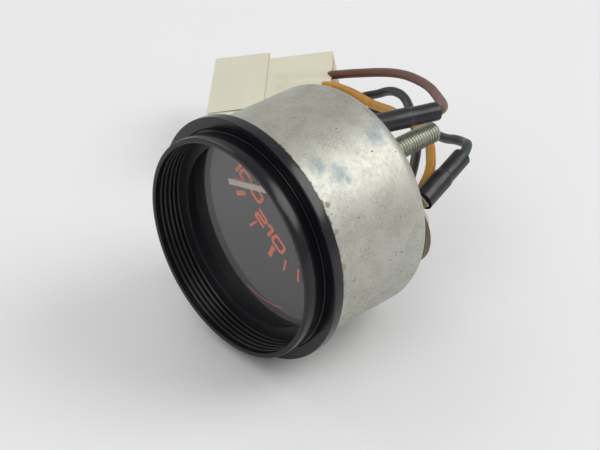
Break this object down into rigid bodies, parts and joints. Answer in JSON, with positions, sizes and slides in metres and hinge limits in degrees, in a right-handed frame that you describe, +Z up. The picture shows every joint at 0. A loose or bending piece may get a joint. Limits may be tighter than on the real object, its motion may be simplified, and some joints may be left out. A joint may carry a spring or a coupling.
{
  "type": "temperature gauge",
  "caption": "Round hooded electric water temperature gauge with a black dial, zinc can, rear studs, lamp holder and short coloured leads in a tape flag.",
  "frame": {"origin": "on the ground under the middle of the gauge, which lies on its flange with its axis level; half way from the hood's lip to the tips of the studs, leads left out", "axes": "+Y from the front of the hood to the terminals at the back, +Z up, +X to the right seen from the front"},
  "size_m": [0.1125, 0.091, 0.056],
  "materials": {
    "hood": "satin black moulding with fine rings inside",
    "bezel_ring": "semi-gloss black, lightly worn",
    "sealant_bead": "dried tan sealant",
    "glass_gasket": "matt black",
    "glass": "clear flat glass",
    "dial_spacer": "matt black",
    "dial": "matt black with plain orange-red figures and ticks",
    "dial_screws": "blackened steel",
    "pointer": "pale painted, slightly orange",
    "pointer_hub": "black",
    "pointer_shaft": "turned steel",
    "pointer_lever": "stamped brass",
    "can": "zinc plated, dulled and pitted with age",
    "movement_plate": "stamped brass",
    "shaft_bridge": "stamped brass",
    "bridge_screws": "steel",
    "heated_leg": "bimetal strip",
    "heater_winding": "glass-braid covered heater winding",
    "compensating_leg": "bimetal strip",
    "anchor_post": "turned brass",
    "movement_pillars": "turned brass",
    "movement_screws": "zinc plated",
    "stud_upper": "zinc plated thread, dulled",
    "stud_lower": "zinc plated thread, dulled",
    "terminal_blade_1": "tinned brass",
    "terminal_blade_2": "tinned brass",
    "terminal_insulator_1": "brown phenolic",
    "terminal_insulator_2": "brown phenolic",
    "lamp_shell": "zinc plated",
    "lamp_disc": "brown phenolic",
    "lamp_cap": "aged cream moulding",
    "lamp_bulb": "clear glass",
    "lamp_bulb_base": "nickelled brass",
    "receptacle_1": "tinned brass",
    "receptacle_2": "tinned brass",
    "sleeve_1": "soft black vinyl",
    "sleeve_2": "soft black vinyl",
    "brown_lead": "brown vinyl insulation",
    "green_lead": "dark green vinyl insulation",
    "black_lead": "black vinyl insulation",
    "yellow_lead": "ochre yellow vinyl insulation",
    "lead_tag": "cream crepe paper tape"
  },
  "bodies": {
    "case": {"hood": "hood", "bezel_ring": "bezel_ring", "sealant_bead": "sealant_bead", "glass_gasket": "glass_gasket", "glass": "glass", "dial_spacer": "dial_spacer", "dial": "dial", "dial_screws": "dial_screws", "can": "can", "movement_plate": "movement_plate", "shaft_bridge": "shaft_bridge", "bridge_screws": "bridge_screws", "compensating_leg": "compensating_leg", "anchor_post": "anchor_post", "movement_pillars": "movement_pillars", "movement_screws": "movement_screws", "stud_upper": "stud_upper", "stud_lower": "stud_lower", "terminal_blade_1": "terminal_blade_1", "terminal_blade_2": "terminal_blade_2", "terminal_insulator_1": "terminal_insulator_1", "terminal_insulator_2": "terminal_insulator_2", "lamp_shell": "lamp_shell", "lamp_disc": "lamp_disc", "lamp_cap": "lamp_cap", "lamp_bulb": "lamp_bulb", "lamp_bulb_base": "lamp_bulb_base", "receptacle_1": "receptacle_1", "receptacle_2": "receptacle_2", "sleeve_1": "sleeve_1", "sleeve_2": "sleeve_2", "brown_lead": "brown_lead", "green_lead": "green_lead", "black_lead": "black_lead", "yellow_lead": "yellow_lead", "lead_tag": "lead_tag"},
    "pointer_arm": {"pointer": "pointer", "pointer_hub": "pointer_hub", "pointer_shaft": "pointer_shaft", "pointer_lever": "pointer_lever"},
    "bimetal_leg": {"heated_leg": "heated_leg", "heater_winding": "heater_winding"}
  },
  "joints": [
    {"name": "pointer_sweep", "type": "hinge", "parent": "case", "child": "pointer_arm", "pos_m": [0.01101, -0.0075, 0.04187], "axis": [0, -1, 0], "range_deg": [0, 78]},
    {"name": "bimetal_bend", "type": "hinge", "parent": "case", "child": "bimetal_leg", "pos_m": [-0.00481, -0.0055, 0.02049], "axis": [0, 1, 0], "range_deg": [0, 10.45], "stiffness_Nm_per_rad": 0.02}
  ],
  "couplings": [
    {"joint": "pointer_sweep", "follows": "bimetal_bend", "ratio": 7.462}
  ]
}
